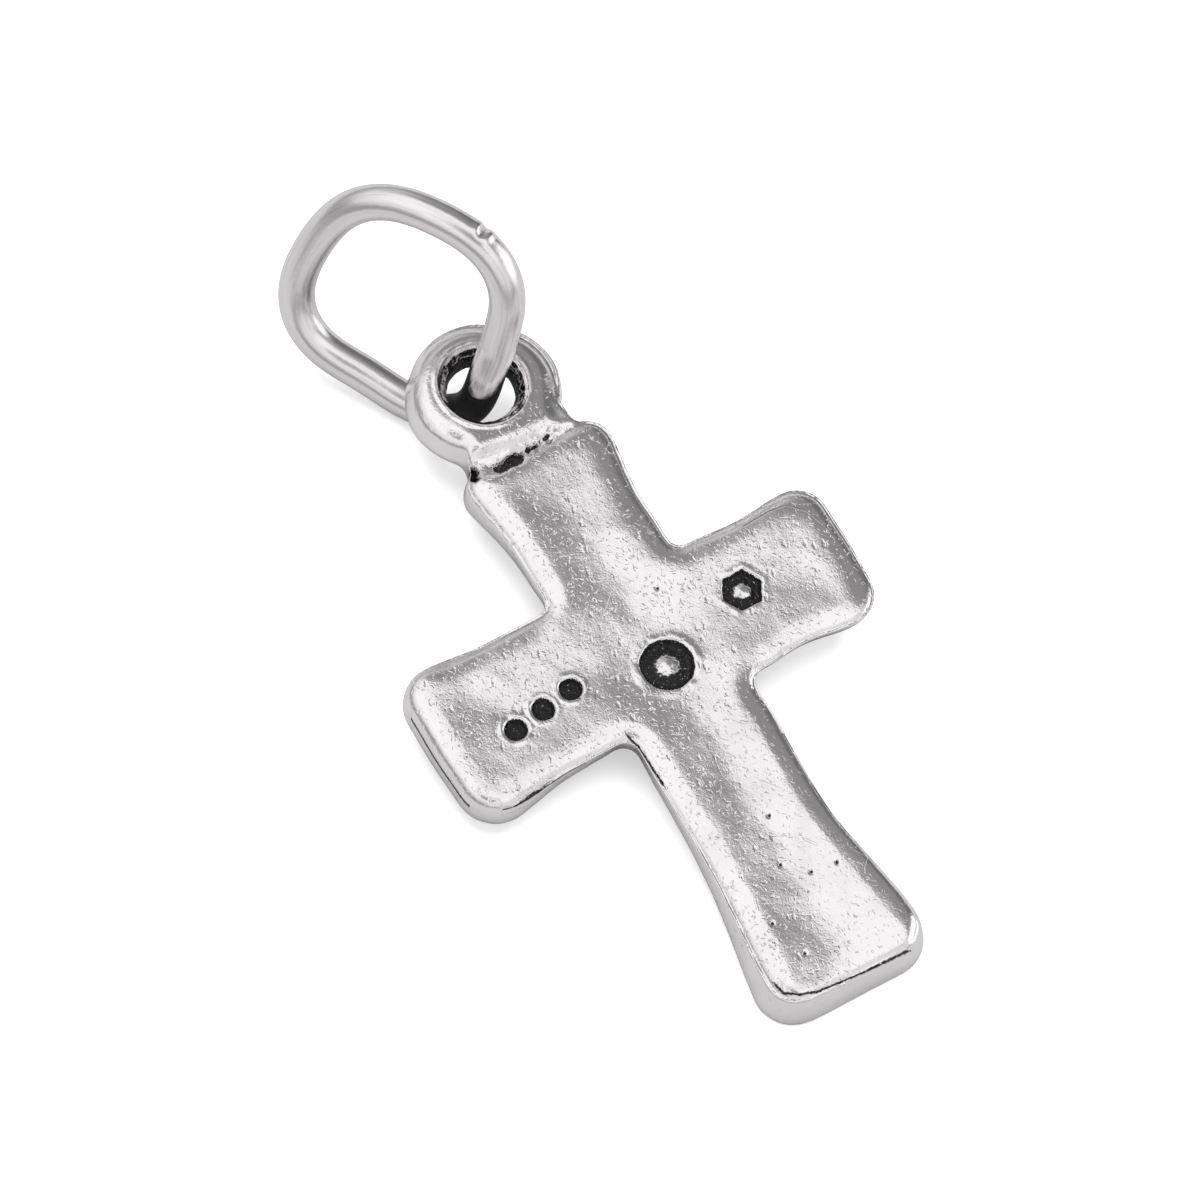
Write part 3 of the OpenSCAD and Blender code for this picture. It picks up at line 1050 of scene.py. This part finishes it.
    def _outline(self, shell: bmesh.types.BMesh) -> bmesh.types.BMFace:
        """Add the back face's outline as one face.

        Each point keeps its place, its outward direction, and the edge's shape there: corner
        values at the corners and values in between along the sides.

        Args:
            shell: The mesh that gets the face.

        Returns:
            The face.
        """
        on_side = 1e-4
        keep = {k: shell.verts.layers.float.new(k) for k in EDGE_VALUES}
        foot = shell.verts.layers.float_vector.new(FOOT)
        outward = shell.verts.layers.float_vector.new(OUTWARD)
        rounded_face(shell, [(Vector((c.x, c.y, 0)), c.rounding) for c in self.corners], self.corner_parts)
        long_edges = [e for e in shell.edges if e.calc_length() > self.long_side]
        bmesh.ops.subdivide_edges(shell, edges=long_edges, cuts=self.side_cuts)
        for v in shell.verts:
            near = min(self.corners, key=lambda c: math.hypot(v.co.x - c.x, v.co.y - c.y))
            for name, layer in keep.items():
                v[layer] = getattr(near, name)
        for a, b in zip(self.corners, self.corners[1:] + self.corners[:1]):
            start, way = Vector((a.x, a.y, 0)), Vector((b.x - a.x, b.y - a.y, 0))
            length = way.length
            way.normalize()
            inward = Vector((-way.y, way.x, 0))
            for v in shell.verts:
                along, off = (v.co - start).dot(way), (v.co - start).dot(inward)
                t = (along - a.rounding) / (length - a.rounding - b.rounding)
                if abs(off) < on_side and 0 <= t <= 1:
                    for name, layer in keep.items():
                        v[layer] = getattr(a, name) * (1 - t) + getattr(b, name) * t
                    v[foot] = inward * a.hollow * math.sin(math.pi * t) ** 2
        for v in shell.verts:
            v.co += v[foot]
        face = next(iter(shell.faces))
        for loop in face.loops:
            here, there = loop.link_loop_prev.vert.co, loop.link_loop_next.vert.co
            way = (there - here).normalized()
            loop.vert[outward] = Vector((way.y, -way.x, 0)) * (1 if face.normal.z >= 0 else -1)
            loop.vert[foot] = loop.vert.co
        return face

    def _arms(self, shell: bmesh.types.BMesh) -> Rim:
        """Add the four arms, their outline raised level by level, and return the back's rim."""
        top = self._outline(shell)
        roll, bevel, taper = (shell.verts.layers.float[k] for k in EDGE_VALUES)
        foot, outward = (shell.verts.layers.float_vector[k] for k in (FOOT, OUTWARD))
        loop = [(c.vert[foot] + c.vert[outward] * self.relief.rim_away)[:2] for c in top.loops]
        for number, (height, front, back) in enumerate(self.levels):
            if number:
                made = bmesh.ops.extrude_face_region(shell, geom=[top])
                top = next(g for g in made["geom"] if isinstance(g, bmesh.types.BMFace))
            for v in top.verts:
                inset = self.front_roll * v[roll] * front + v[taper] * (1 - height)
                inset += (self.wall_bulge + v[bevel] - self.soft_bevel) * back
                v.co = v[foot] + v[outward] * (self.wall_bulge - inset)
                v.co.z = self.thickness * height
        return Rim.along(np.array(loop), self.relief.rim_gap)

    def _eyelet(self, shell: bmesh.types.BMesh) -> None:
        """Add the eyelet: its section with rounded corners, spun about the hole."""
        top = self.thickness - self.eyelet_drop
        low, edge = top - self.eyelet_t, top - self.eyelet_edge
        # Each corner's distance from the hole's middle, its height and its rounding
        section = (
            (self.hole_r + 0.2, low, 0.08), (self.eyelet_r, low, 0.42), (self.eyelet_r + 0.07, edge, 0.2),
            (self.eyelet_r - 0.28, top, 0.14), (self.hole_rim_r, top, 0.05), (self.hole_r, edge, 0.1),
            (self.hole_r, low + 0.2, 0.05),
        )
        tips = [(Vector((self.eyelet_x + r, self.eyelet_y, z)), rounding) for r, z, rounding in section]
        face = rounded_face(shell, tips, self.eyelet_corner_parts)
        edges = list(face.edges)
        bmesh.ops.delete(shell, geom=[face], context="FACES_ONLY")
        spin(shell, edges, (self.eyelet_x, self.eyelet_y), self.eyelet_steps)
        for v in shell.verts:
            away = v.co.xy - Vector((self.eyelet_x, self.eyelet_y))
            if self.hole_rim_r <= away.length <= self.eyelet_r + 0.1:
                way = away.normalized()
                wider = max(self.eyelet_sides * way.x ** 2 - self.eyelet_foot * way.y, 0)
                share = (away.length - self.hole_rim_r) / (self.eyelet_r - self.hole_rim_r)
                v.co.xy += way * wider * share

    def _neck(self, shell: bmesh.types.BMesh) -> None:
        """Add the neck between the eyelet and the upper arm, lower than both."""
        face = shell.faces.new([shell.verts.new((x, y, self.neck_base)) for x, y in self.neck])
        made = bmesh.ops.extrude_face_region(shell, geom=[face])
        risen = [g for g in made["geom"] if isinstance(g, bmesh.types.BMVert)]
        bmesh.ops.translate(shell, verts=risen, vec=(0, 0, self.neck_height))

    def _melted(self, shell: bmesh.types.BMesh) -> bmesh.types.BMesh:
        """Run the overlapping closed shapes into one skin, as a casting is.

        Args:
            shell: The arms, the eyelet and the neck.

        Returns:
            One closed skin, softened, with smaller faces on its marked back.
        """
        draft = linked(mesh_of("cross_draft", shell))
        melt = draft.modifiers.new("melt", "REMESH")
        melt.mode = "VOXEL"
        melt.voxel_size = self.voxel
        skin = bmesh.new()
        skin.from_object(draft, bpy.context.evaluated_depsgraph_get())
        draft_mesh = draft.data
        bpy.data.objects.remove(draft)
        bpy.data.meshes.remove(draft_mesh)
        hole = Vector((self.eyelet_x, self.eyelet_y))
        low, high = self.soft_neck_y
        from_rim = {v: (v.co.xy - hole).length - self.hole_rim_r for v in skin.verts}
        off_rim = [v for v, gap in from_rim.items() if gap > self.soft_off_rim]
        neck = [v for v in off_rim if low < v.co.y < high and from_rim[v] > self.soft_neck_off_rim]
        for verts, passes in zip((skin.verts, off_rim, neck), self.soft_passes):
            smooth(skin, verts, passes)
        skin.normal_update()
        faces = [f for f in skin.faces if f.normal.z > self.back_up]
        back = [f for f in faces if f.calc_center_median().z > self.back_z]
        edges = list({e for f in back for e in f.edges})
        bmesh.ops.subdivide_edges(skin, edges=edges, cuts=1, use_grid_fill=True)
        return skin

    def _level_neck(self, skin: Skin, from_hole: np.ndarray) -> None:
        """Level the neck's face with the eyelet's, between the arms and the hole's rim."""
        low_y, high_y, side_x, off_rim = (5.95, 6.4), (7.1, 6.8), (1.25, 0.9), (0.1, 0.25)
        between = ramp(skin.y, *low_y) * ramp(skin.y, *high_y) * ramp(np.abs(skin.x - self.eyelet_x), *side_x)
        off_hole = ramp(from_hole - self.hole_rim_r, *off_rim)
        level = skin.facing_back * between * off_hole
        skin.co[:, 2] += (self.thickness - self.eyelet_drop - skin.z) * level

    def _stain_hole(self, skin: Skin, from_hole: np.ndarray) -> np.ndarray:
        """Blacken the hole's wall, less where the ring rubs it, and return where the wall is."""
        inside, middle_z, half, deep_z, rub = (-0.02, -0.12), 0.62, (0.63, 0.55), (1.02, 0.8), (0.1, 0.6)
        least, rubbed_off = 0.42, 0.8
        wall = ramp(from_hole - self.hole_rim_r, *inside) * ramp(np.abs(skin.z - middle_z), *half)
        rubbed = ramp((self.eyelet_x - skin.x) + (self.eyelet_y - skin.y), *rub)
        mottled = np.clip(least + skin.stray(0.9, 0.3), 0, 1)
        skin.darken(wall * (mottled + (1 - mottled) * ramp(skin.z, *deep_z)) * (1 - rubbed_off * rubbed))
        return wall

    def _sculpt(self, mesh: bpy.types.Mesh, rim: Rim) -> None:
        """Move the skin's points for its relief, marks and grooves, and note its stains and its painted shade
        lines.

        Args:
            mesh: The molten skin in the flat drawing's millimetres.
            rim: The outline about the back face.
        """
        skin = Skin.of(mesh)
        skin.lift += self.relief.height(skin.x, skin.y, rim, self.eyelet_x)
        for sunk in (*self.marks, *self.cuts, *self.pits, self.furrow):
            sunk.sink(skin)
        skin.stain *= skin.facing_back
        self.notch.blacken(skin)
        from_hole = np.hypot(skin.x - self.eyelet_x, skin.y - self.eyelet_y)
        in_hole = self._stain_hole(skin, from_hole)
        self._level_neck(skin, from_hole)
        high, size, seed = self.skin_lumps
        uneven = high * grain(skin.co, size, seed)
        uneven += skin.rough * (self.skin_rough + in_hole * self.hole_rough)
        skin.co += skin.up * uneven[:, None]
        lip_away, lip_width, lip_height, lip_wobble = self.hole_lip
        lip = mound(np.abs(from_hole - self.hole_rim_r - lip_away), lip_width)
        skin.lift += lip * (lip_height + lip_wobble * skin.wobble)
        skin.co[:, 2] += skin.lift * skin.facing_back
        for line in self.painted_shade_lines:
            line.draw(skin)
        skin.write(mesh)

    def build(self) -> bpy.types.Object:
        """Return the finished cross, in place of its plain solid."""
        shell = bmesh.new()
        rim = self._arms(shell)
        self._eyelet(shell)
        self._neck(shell)
        bmesh.ops.recalc_face_normals(shell, faces=shell.faces)
        mesh = mesh_of("cast_cross", self._melted(shell))
        self._sculpt(mesh, rim)
        mesh.transform(self.lie.matrix())
        piece = finished(mesh, self.finish)
        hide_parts("cross")
        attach(piece, "root")
        return piece


# The jump ring


@dataclass(frozen=True)
class Nudge:
    """A place where the bent wire leaves its round, in degrees along it.

    It does so by a few tenths of a millimetre outward and to one side.
    """

    at: float
    reach: float
    outward: float
    aside: float


@dataclass(frozen=True)
class Dint:
    """A worn place on the wire, in degrees along and about it, with its depth in millimetres."""

    at: float
    reach: float
    about: float
    spread: float
    depth: float
    tarnish: float = 0.0

    def share(self, at: float, about: float) -> np.float64:
        """Return how much of the wear there is at a place on the wire, from 0 to 1."""
        return mound(np.float64(at - self.at), self.reach) * mound(np.float64(about - self.about), self.spread)


@dataclass
class JumpRing:
    """The jump ring, bent from round wire and threaded through the eyelet."""

    lie: Lie
    finish: WireSilver
    wire_d: float = 0.9
    radius: float = 2.71
    tilt: float = 62.5
    turn: float = 214.5
    middle: Point = (-0.895, 10.15)
    # How it is out of round, as two shares of the radius for waves of 2, 3 and 4 rounds
    oval: Point = (-0.01, -0.029)
    egg: Point = (-0.045, -0.038)
    squared: Point = (-0.046, 0.015)
    # How it is out of plane, in millimetres for a wave of 2 rounds
    bend: Point = (0.01, 0.09)
    nudges: tuple[Nudge, ...] = (Nudge(40, 52, 0.09, 0.0), Nudge(336, 25, -0.14, 0.14))
    steps: int = 324
    sides: int = 40
    seam: Dint = Dint(66, 2.2, 188, 56, 0.11, 0.6)
    # The burr stands up this far to each side of the seam
    burr: Dint = Dint(3.2, 1.5, 188, 56, -0.035)
    nick: Dint = Dint(286, 5, 190, 60, 0.05, 0.55)
    facet_depth: float = 0.02
    facet_about: float = 160
    facet_spread: float = 40
    facet_start: Span = (27, 33)
    facet_end: Span = (63, 60)
    # Where the wire is in the hole it is painted dark, as painted shade: it starts softly and ends along an edge
    # that runs askew
    in_hole_start: Span = (291, 303)
    in_hole_end: float = 341
    in_hole_askew: float = 9
    in_hole_soft: float = 1.5
    # How far the fixed noise moves the seam in degrees, deepens the nick and darkens it
    ragged_seam: float = 1.2
    ragged_nick: float = 0.04
    ragged_stain: float = 0.5

    @staticmethod
    def _wave(pair: Point, times: int, angle: float) -> float:
        """Return a wave of times rounds at angle, from its two shares."""
        return pair[0] * math.cos(times * angle) + pair[1] * math.sin(times * angle)

    def _axes(self) -> tuple[Vector, Vector, Vector]:
        """Return the ring's level direction, its upward direction and its normal."""
        tilt, turn = math.radians(self.tilt), math.radians(self.turn)
        normal = Vector((math.sin(tilt) * math.cos(turn), math.sin(tilt) * math.sin(turn), math.cos(tilt)))
        across = Vector((0, 0, 1)).cross(normal).normalized()
        return across, normal.cross(across), normal

    def _line(self, angle: float) -> Vector:
        """Return the place of the wire's middle line at angle, in millimetres."""
        across, up, normal = self._axes()
        shape = self._wave(self.oval, 2, angle) + self._wave(self.egg, 3, angle)
        r = self.radius * (1 + shape + self._wave(self.squared, 4, angle))
        aside = self._wave(self.bend, 2, angle)
        for nudge in self.nudges:
            gap = (math.degrees(angle) - nudge.at + 180) % 360 - 180
            share = float(mound(np.float64(gap), nudge.reach))
            r += nudge.outward * share
            aside += nudge.aside * share
        return across * r * math.cos(angle) + up * r * math.sin(angle) + normal * aside

    def _bent(self, place: Vector) -> Vector:
        """Return where a point of the plain round torus goes on the bent ring."""
        angle = math.atan2(place.y, place.x)
        inward, rise = self.radius - math.hypot(place.x, place.y), place.z
        step = math.tau / self.steps
        way = (self._line(angle + step) - self._line(angle - step)).normalized()
        side = self._axes()[2].cross(way).normalized()
        return self._line(angle) + side * inward + way.cross(side) * rise

    def _worn(self, at: float, about: float) -> tuple[float, float]:
        """Return how deep the wire is worn at a place on it, in millimetres, and its tarnish with its painted
        shade.

        Args:
            at: The place along the ring, in degrees.
            about: The place about the wire, in degrees: 0 inward, 90 up, 180 outward.

        Returns:
            The depth below the round wire, and the tarnish with the painted shade inside the hole, from 0 to 1.
        """
        ragged = noise.noise(Vector((at * 0.4, about * 0.04, 0)))
        seam = self.seam.share(at - ragged * self.ragged_seam, about)
        burr = self.burr.share(abs(at - self.seam.at), about)
        nick = self.nick.share(at, about)
        facet = mound(np.float64(about - self.facet_about), self.facet_spread)
        facet *= ramp(np.float64(at), *self.facet_start) * ramp(np.float64(at), *self.facet_end)
        end = self.in_hole_end - self.in_hole_askew * math.cos(math.radians(about - 90))
        in_hole = ramp(np.float64(at), end + self.in_hole_soft, end - self.in_hole_soft)
        in_hole *= ramp(np.float64(at), *self.in_hole_start)
        depth = seam * self.seam.depth + burr * self.burr.depth + facet * self.facet_depth
        depth += nick * (self.nick.depth + ragged * self.ragged_nick)
        nick_stain = nick * (self.nick.tarnish + ragged * self.ragged_stain)
        # The seam's and the nick's tarnish, and the painted shade of the wire inside the hole
        stain = max(seam * self.seam.tarnish, nick_stain, in_hole)
        return float(depth), float(stain)

    def _wire(self) -> bmesh.types.BMesh:
        """Return the plain round torus that the ring is bent from, with its middle at 0."""
        wire = bmesh.new()
        section = Matrix.Translation((self.radius, 0, 0)) @ Matrix.Rotation(math.pi / 2, 4, "X")
        bmesh.ops.create_circle(
            wire, cap_ends=False, segments=self.sides, radius=self.wire_d / 2, matrix=section
        )
        spin(wire, wire.edges, (0, 0), self.steps)
        return wire

    def _shape(self, wire: bmesh.types.BMesh) -> None:
        """Wear and bend the torus, and note at each point its tarnish, its painted shade and its place about the
        wire.
        """
        tarnish = wire.verts.layers.float.new(TARNISH_AND_SHADE)
        section = wire.verts.layers.float_vector.new(SECTION)
        for v in wire.verts:
            out, rise = math.hypot(v.co.x, v.co.y), v.co.z
            inward = self.radius - out
            about = math.atan2(rise, inward)
            v[section] = (math.cos(about), math.sin(about), 0)
            at = math.degrees(math.atan2(v.co.y, v.co.x)) % 360
            depth, v[tarnish] = self._worn(at, math.degrees(about) % 360)
            share = 1 - depth / (self.wire_d / 2)
            grown = (self.radius - inward * share) / out
            v.co = self._bent(Vector((v.co.x * grown, v.co.y * grown, rise * share)))

    def build(self) -> bpy.types.Object:
        """Return the finished ring, in place of its plain solid."""
        wire = self._wire()
        self._shape(wire)
        lowest = min(v.co.z for v in wire.verts)
        x, y = self.middle
        move = Vector((x, y - self.lie.middle_y, -lowest - self.lie.worn_flat))
        bmesh.ops.translate(wire, verts=wire.verts, vec=move)
        for v in wire.verts:
            v.co.z = max(v.co.z, 0)
        bmesh.ops.scale(wire, verts=wire.verts, vec=(MM, MM, MM))
        bmesh.ops.recalc_face_normals(wire, faces=wire.faces)
        piece = finished(mesh_of("wire_ring", wire), self.finish)
        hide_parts("jump_ring")
        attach(piece, "root")
        return piece


# Floor, light and camera


@dataclass(frozen=True)
class Glow:
    """A part of the light tent that is brighter or darker than the rest.

    Its borders are two spans of dot products, one with toward and one with straight up.
    """

    toward: tuple[float, float, float]
    edge: Span
    over: Span
    light: float


@dataclass
class Studio:
    """A white floor in a light tent, with one broad soft lamp above.

    The camera sees the white floor. The silver mirrors a grey one in its place, which stands
    in for the dim surroundings of a light table.
    """

    seen: PaleFloor
    mirrored: PaleFloor
    floor_half: float = 1.2
    gap: float = 0.0001
    tent: float = 0.375
    glows: tuple[Glow, ...] = (
        Glow((0.15, 1, 0), (0.45, 0.75), (0.1, 0.35), 0.64),
        Glow((0, -1, 0), (0.5, 0.72), (0.1, 0.3), 0.86),
        Glow((-1, 0.2, 0), (0.05, 0.3), (0.28, 0.5), 0.94),
        Glow((-0.93, -0.37, 0), (-0.41, -0.31), (0.62, 0.8), 1.14),
        Glow((0.93, 0.37, 0), (0.41, 0.5), (0.5, 0.7), 0.27),
        Glow((1, 0.1, 0), (0.4, 0.68), (-0.1, 0.2), 0.3),
        Glow((1, 0.15, 0), (0.7, 0.88), (-0.1, 0.1), 0.17),
        Glow((0.914, -0.405, 0.25), (0.87, 0.93), (-0.1, 0.0), 1.4),
        Glow((-0.277, -0.293, 0.915), (0.955, 0.985), (-0.1, 0.0), 0.38),
    )
    lamp_power: float = 17.0
    lamp_size: float = 1.4
    lamp_place: tuple[float, float, float] = (0.25, 0.3, 1.1)

    def _floor(self, name: str, finish: PaleFloor, seen: bool) -> None:
        """Lay one floor, seen by the camera alone or by the silver and the lights alone."""
        ground = bmesh.new()
        bmesh.ops.create_grid(ground, x_segments=1, y_segments=1, size=self.floor_half)
        bmesh.ops.translate(ground, verts=ground.verts, vec=(0, 0, 0 if seen else -self.gap))
        mesh = mesh_of(name, ground)
        mesh.materials.append(finish.material())
        piece = linked(mesh)
        piece.visible_camera = seen
        piece.visible_glossy = not seen
        piece.visible_shadow = not seen
        piece.visible_diffuse = not seen

    def _tent(self) -> None:
        """Set the tent's own light: its level everywhere, then each brighter or darker part."""
        world = bpy.data.worlds.new("light_tent")
        world.use_nodes = True
        bpy.context.scene.world = world
        sheet = NodeSheet(world.node_tree)
        way = sheet.node("ShaderNodeTexCoord", output="Generated")

        def along(x: float, y: float, z: float) -> Signal:
            """Return how far the looked-at direction points along x, y, z."""
            unit = Vector((x, y, z)).normalized()
            return sheet.node("ShaderNodeVectorMath", {"operation": "DOT_PRODUCT"}, [way, tuple(unit)], "Value")

        over = along(0, 0, 1)
        light: Any = self.tent
        for glow in self.glows:
            share = along(*glow.toward).step(*glow.edge) * over.step(*glow.over)
            light = light + share * (glow.light - light)
        ground = sheet.node("ShaderNodeBackground", {}, {"Color": grey(1.0), "Strength": light})
        sheet.node("ShaderNodeOutputWorld", {}, {"Surface": ground})

    def _lamp(self) -> None:
        """Hang the lamp that lights the floor alone; the silver mirrors only the tent."""
        lamp = bpy.data.lights.new("floor_lamp", "AREA")
        lamp.shape = "DISK"
        lamp.size = self.lamp_size
        lamp.energy = self.lamp_power
        piece = bpy.data.objects.new("floor_lamp", lamp)
        piece.location = self.lamp_place
        piece.rotation_mode = "QUATERNION"
        piece.rotation_quaternion = piece.location.to_track_quat("Z", "Y")
        piece.visible_glossy = False
        bpy.context.collection.objects.link(piece)

    def build(self) -> None:
        """Make the floors, the tent and the lamp."""
        self._floor("floor", self.seen, True)
        self._floor("floor_in_mirror", self.mirrored, False)
        self._tent()
        self._lamp()
        bpy.context.scene.view_settings.view_transform = "Standard"


@dataclass
class PhotoCamera:
    """The camera: turned and rolled above the cross's back face, and far away.

    Its angles are in degrees, and its aim and distance are in millimetres.
    """

    lie: Lie
    azimuth: float = -43.4
    elevation: float = 66.2
    roll: float = 14.0
    aim: tuple[float, float, float] = (-0.635, -0.252, 2.185)
    distance: float = 250.0
    pixels: float = 1200
    pixels_to_mm: float = 42
    sensor: float = 36
    clip: Span = (0.01, 10)

    def build(self) -> None:
        """Make the camera and hand it to the scene."""
        a, e, roll = (math.radians(v) for v in (self.azimuth, self.elevation, self.roll))
        back = Vector((math.sin(a) * math.cos(e), -math.cos(a) * math.cos(e), math.sin(e)))
        level = Vector((math.cos(a), math.sin(a), 0))
        risen = back.cross(level)
        right = level * math.cos(roll) + risen * math.sin(roll)
        up = risen * math.cos(roll) - level * math.sin(roll)
        turn = self.lie.turn().to_3x3()
        axes = Matrix([turn @ v for v in (right, up, back)]).transposed()
        data = bpy.data.cameras.new("camera")
        data.sensor_width = self.sensor
        data.lens = self.sensor * self.distance * self.pixels_to_mm / self.pixels
        data.clip_start, data.clip_end = self.clip
        piece = bpy.data.objects.new("camera", data)
        bpy.context.collection.objects.link(piece)
        place = Vector(self.aim) + turn @ back * self.distance
        piece.matrix_world = Matrix.Translation(place * MM) @ axes.to_4x4()
        bpy.context.scene.camera = piece


def main() -> None:
    """Build the charm, the studio and the camera."""
    logging.basicConfig(level=logging.INFO, format="%(message)s")
    lie = Lie()
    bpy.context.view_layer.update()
    PhotoCamera(lie).build()
    for maker in (CastCross(lie, CastSilver()), JumpRing(lie, WireSilver())):
        piece = maker.build()
        LOG.info("%s: %d points, %d faces", piece.name, len(piece.data.vertices), len(piece.data.polygons))
    Studio(seen=PaleFloor(white=0.92, glow=0.35), mirrored=PaleFloor(white=0.45)).build()


if __name__ == "__main__":
    main()
